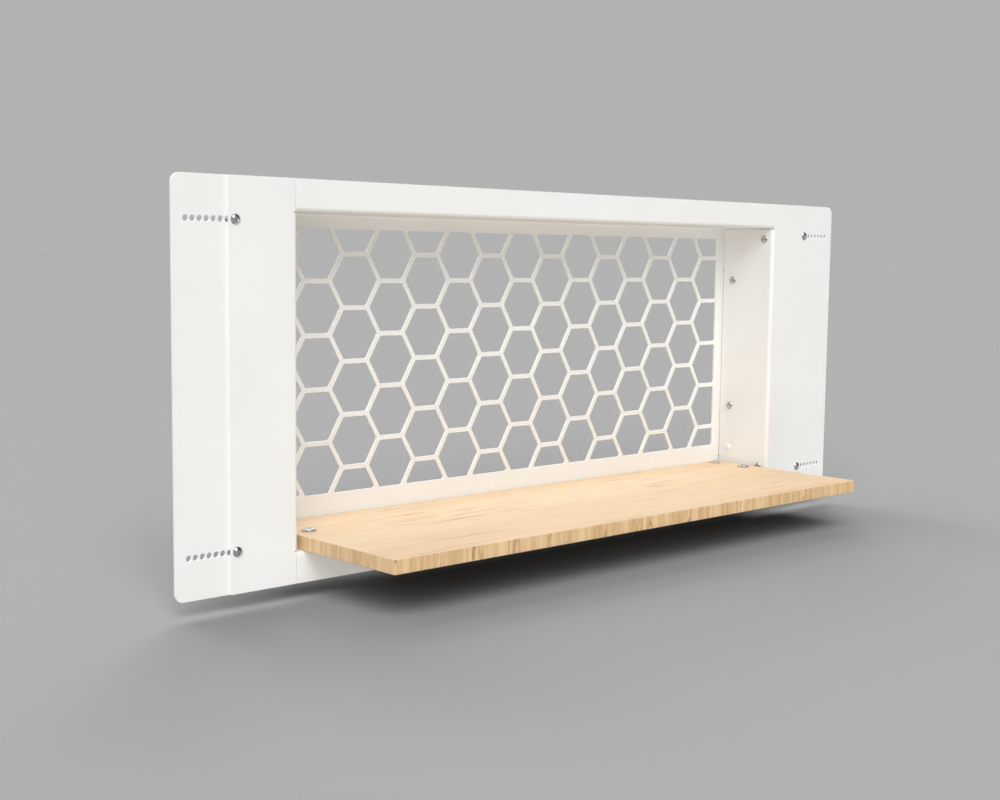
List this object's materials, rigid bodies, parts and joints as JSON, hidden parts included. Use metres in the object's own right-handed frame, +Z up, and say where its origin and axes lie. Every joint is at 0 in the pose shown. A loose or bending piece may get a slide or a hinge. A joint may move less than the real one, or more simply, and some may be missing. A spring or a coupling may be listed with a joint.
{
  "type": "cat window guard",
  "caption": "White folded steel window guard with a hexagon grille, sliding perforated side wings and a pale wooden cat perch",
  "frame": {"origin": "the centre of the rectangle of the four outermost wing holes, on the plane of the wings' rear faces, which lie against the window frame", "axes": "+X along the width, +Y out through the window from the room side, +Z up"},
  "size_m": [0.908, 0.2005, 0.35],
  "materials": {
    "white_steel": "satin",
    "perch_wood": "satin",
    "plated_steel": "polished",
    "white_plastic": "matte"
  },
  "bodies": {
    "frame": {"hexagon_channel": "white_steel", "left_side_frame": "white_steel", "right_side_frame": "white_steel", "shelf_board": "perch_wood", "left_wing_washers": "plated_steel", "right_wing_washers": "plated_steel", "left_wing_nuts": "plated_steel", "right_wing_nuts": "plated_steel", "left_side_screws": "plated_steel", "right_side_screws": "plated_steel", "left_side_nuts": "plated_steel", "right_side_nuts": "plated_steel", "left_hole_plug": "white_plastic", "right_hole_plug": "white_plastic", "shelf_screws": "plated_steel", "shelf_washers": "plated_steel", "shelf_nuts": "plated_steel"},
    "left_wing_body": {"left_wing": "white_steel"},
    "right_wing_body": {"right_wing": "white_steel"},
    "left_upper_screw_body": {"left_upper_wing_screw": "plated_steel"},
    "left_lower_screw_body": {"left_lower_wing_screw": "plated_steel"},
    "right_upper_screw_body": {"right_upper_wing_screw": "plated_steel"},
    "right_lower_screw_body": {"right_lower_wing_screw": "plated_steel"}
  },
  "joints": [
    {"name": "left_wing_slide", "type": "slide", "parent": "frame", "child": "left_wing_body", "axis": [1, 0, 0], "range_m": [0, 0.039]},
    {"name": "right_wing_slide", "type": "slide", "parent": "frame", "child": "right_wing_body", "axis": [-1, 0, 0], "range_m": [0, 0.039]},
    {"name": "left_upper_screw_draw", "type": "slide", "parent": "frame", "child": "left_upper_screw_body", "axis": [0, -1, 0], "range_m": [0, 0.011]},
    {"name": "left_lower_screw_draw", "type": "slide", "parent": "frame", "child": "left_lower_screw_body", "axis": [0, -1, 0], "range_m": [0, 0.011]},
    {"name": "right_upper_screw_draw", "type": "slide", "parent": "frame", "child": "right_upper_screw_body", "axis": [0, -1, 0], "range_m": [0, 0.011]},
    {"name": "right_lower_screw_draw", "type": "slide", "parent": "frame", "child": "right_lower_screw_body", "axis": [0, -1, 0], "range_m": [0, 0.011]}
  ]
}
